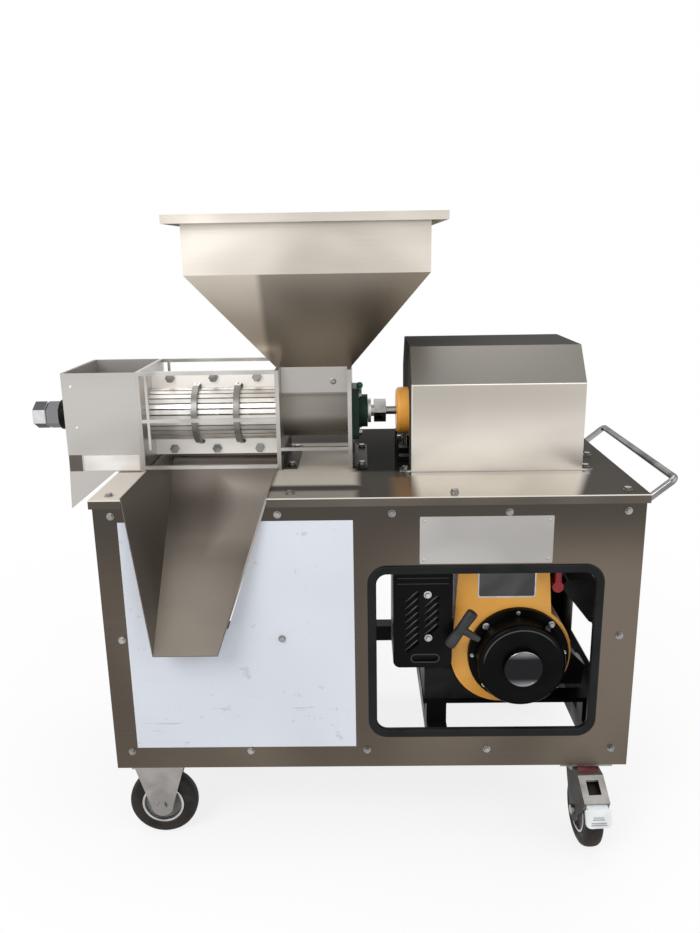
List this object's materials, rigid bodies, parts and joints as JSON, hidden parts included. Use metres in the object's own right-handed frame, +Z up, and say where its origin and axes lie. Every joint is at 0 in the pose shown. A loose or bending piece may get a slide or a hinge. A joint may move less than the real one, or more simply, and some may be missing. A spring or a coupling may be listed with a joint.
{
  "type": "coconut milk extractor",
  "caption": "Engine-driven screw press for coconut milk on a stainless steel cabinet with casters, square hopper, slatted press cage, milk chute and reducer hood.",
  "frame": {"origin": "on the floor under the middle of the machine's box", "axes": "+X along the press shaft from the cake box to the push handle, +Y from the milk chute side to the back, +Z up"},
  "size_m": [1.2434, 0.6606, 1.201],
  "materials": {
    "stainless": "brushed",
    "zinc": "zinc plated",
    "black_paint": "satin",
    "black_rubber": "matte",
    "tyre": "matte",
    "green_paint": "gloss",
    "orange_paint": "gloss",
    "yellow_paint": "gloss",
    "grey_casting": "cast",
    "cast_iron": "cast",
    "bronze": "machined",
    "black_plastic": "matte",
    "red_plastic": "gloss",
    "pale_plastic": "matte"
  },
  "bodies": {
    "machine": {"table_top": "stainless", "front_panel": "stainless", "side_panels": "stainless", "milk_chute": "stainless", "cake_box": "stainless", "cake_chute": "stainless", "hood": "stainless", "hopper": "stainless", "press_plates": "stainless", "tie_bars": "stainless", "feed_housing": "stainless", "press_feet": "stainless", "cage_front": "stainless", "cage_rear": "stainless", "push_handle": "stainless", "panel_screws": "zinc", "frame_bolts": "zinc", "cage_bolts": "zinc", "fixed_forks": "zinc", "swivel_plates": "zinc", "muffler": "zinc", "frame_posts": "black_paint", "frame_rails": "black_paint", "engine_bed": "black_paint", "reducer_base": "black_paint", "muffler_guard": "black_paint", "recoil_housing": "black_paint", "threaded_boss": "black_paint", "fuel_tank": "black_paint", "window_trim": "black_rubber", "drive_belt": "black_rubber", "flange_bearing": "green_paint", "reducer_nose": "orange_paint", "reducer_housing": "orange_paint", "blower_housing": "yellow_paint", "crankcase": "grey_casting", "cylinder": "grey_casting", "air_cleaner": "black_plastic"},
    "crank": {"crankshaft": "zinc", "flywheel": "cast_iron", "drive_pulley": "cast_iron"},
    "worm": {"worm_shaft": "zinc", "driven_pulley": "cast_iron"},
    "screw": {"press_screw": "stainless", "shaft_coupling": "zinc", "worm_wheel": "bronze"},
    "starter": {"starter_grip": "black_plastic"},
    "reel": {"recoil_reel": "black_plastic"},
    "cock": {"fuel_cock": "red_plastic"},
    "cap": {"fuel_cap": "black_plastic"},
    "cone": {"pressure_cone": "stainless"},
    "nuts": {"adjusting_nuts": "zinc"},
    "left_front_wheel": {"fixed_wheel_front": "tyre"},
    "left_back_wheel": {"fixed_wheel_back": "tyre"},
    "front_swivel": {"swivel_fork_front": "zinc"},
    "back_swivel": {"swivel_fork_back": "zinc"},
    "right_front_wheel": {"swivel_wheel_front": "tyre"},
    "right_back_wheel": {"swivel_wheel_back": "tyre"},
    "front_pedal": {"brake_pedal_front": "pale_plastic"},
    "back_pedal": {"brake_pedal_back": "pale_plastic"}
  },
  "joints": [
    {"name": "crank_spin", "type": "hinge", "parent": "machine", "child": "crank", "pos_m": [0.36425, 0.05054, 0.363], "axis": [0, 1, 0], "continuous": true},
    {"name": "worm_spin", "type": "hinge", "parent": "machine", "child": "worm", "pos_m": [0.24225, 0.05054, 0.763], "axis": [0, 1, 0], "continuous": true},
    {"name": "screw_spin", "type": "hinge", "parent": "machine", "child": "screw", "pos_m": [0.07225, 0.05054, 0.813], "axis": [-1, 0, 0], "continuous": true},
    {"name": "starter_pull", "type": "slide", "parent": "machine", "child": "starter", "axis": [-0.3015, -0.9045, 0.3015], "range_m": [0, 0.4], "stiffness_N_per_m": 30, "springref_m": -0.1},
    {"name": "reel_turn", "type": "hinge", "parent": "machine", "child": "reel", "pos_m": [0.36425, -0.19446, 0.363], "axis": [0, 1, 0], "range_deg": [0, 460]},
    {"name": "fuel_cock_turn", "type": "hinge", "parent": "machine", "child": "cock", "pos_m": [0.43825, -0.14946, 0.502], "axis": [0, 1, 0], "range_deg": [0, 90]},
    {"name": "fuel_cap_turn", "type": "hinge", "parent": "machine", "child": "cap", "pos_m": [0.36225, 0.04054, 0.643], "axis": [0, 0, 1], "range_deg": [0, 90]},
    {"name": "cone_slide", "type": "slide", "parent": "machine", "child": "cone", "axis": [-1, 0, 0], "range_m": [0, 0.008]},
    {"name": "nut_turn", "type": "hinge", "parent": "cone", "child": "nuts", "pos_m": [-0.59775, 0.05054, 0.813], "axis": [-1, 0, 0], "range_deg": [0, 720]},
    {"name": "left_front_wheel_spin", "type": "hinge", "parent": "machine", "child": "left_front_wheel", "pos_m": [-0.34575, -0.20746, 0.068], "axis": [0, 1, 0], "continuous": true},
    {"name": "left_back_wheel_spin", "type": "hinge", "parent": "machine", "child": "left_back_wheel", "pos_m": [-0.34575, 0.28854, 0.068], "axis": [0, 1, 0], "continuous": true},
    {"name": "front_swivel_turn", "type": "hinge", "parent": "machine", "child": "front_swivel", "pos_m": [0.49025, -0.20746, 0.153], "axis": [0, 0, 1], "continuous": true},
    {"name": "right_front_wheel_spin", "type": "hinge", "parent": "front_swivel", "child": "right_front_wheel", "pos_m": [0.49234, -0.2474, 0.068], "axis": [0.9986, 0.0523, 0], "continuous": true},
    {"name": "front_pedal_press", "type": "hinge", "parent": "front_swivel", "child": "front_pedal", "pos_m": [0.49527, -0.30332, 0.119], "axis": [0.9986, 0.0523, 0], "range_deg": [0, 10]},
    {"name": "back_swivel_turn", "type": "hinge", "parent": "machine", "child": "back_swivel", "pos_m": [0.49025, 0.28854, 0.153], "axis": [0, 0, 1], "continuous": true},
    {"name": "right_back_wheel_spin", "type": "hinge", "parent": "back_swivel", "child": "right_back_wheel", "pos_m": [0.45047, 0.28436, 0.068], "axis": [0.1045, -0.9945, 0], "continuous": true},
    {"name": "back_pedal_press", "type": "hinge", "parent": "back_swivel", "child": "back_pedal", "pos_m": [0.39478, 0.27851, 0.119], "axis": [0.1045, -0.9945, 0], "range_deg": [0, 10]}
  ],
  "couplings": [
    {"joint": "worm_spin", "follows": "crank_spin", "ratio": 0.58333},
    {"joint": "screw_spin", "follows": "crank_spin", "ratio": 0.019444},
    {"joint": "reel_turn", "follows": "starter_pull", "rad_per_m": 20},
    {"joint": "cone_slide", "follows": "nut_turn", "m_per_rad": 0.00063662}
  ]
}
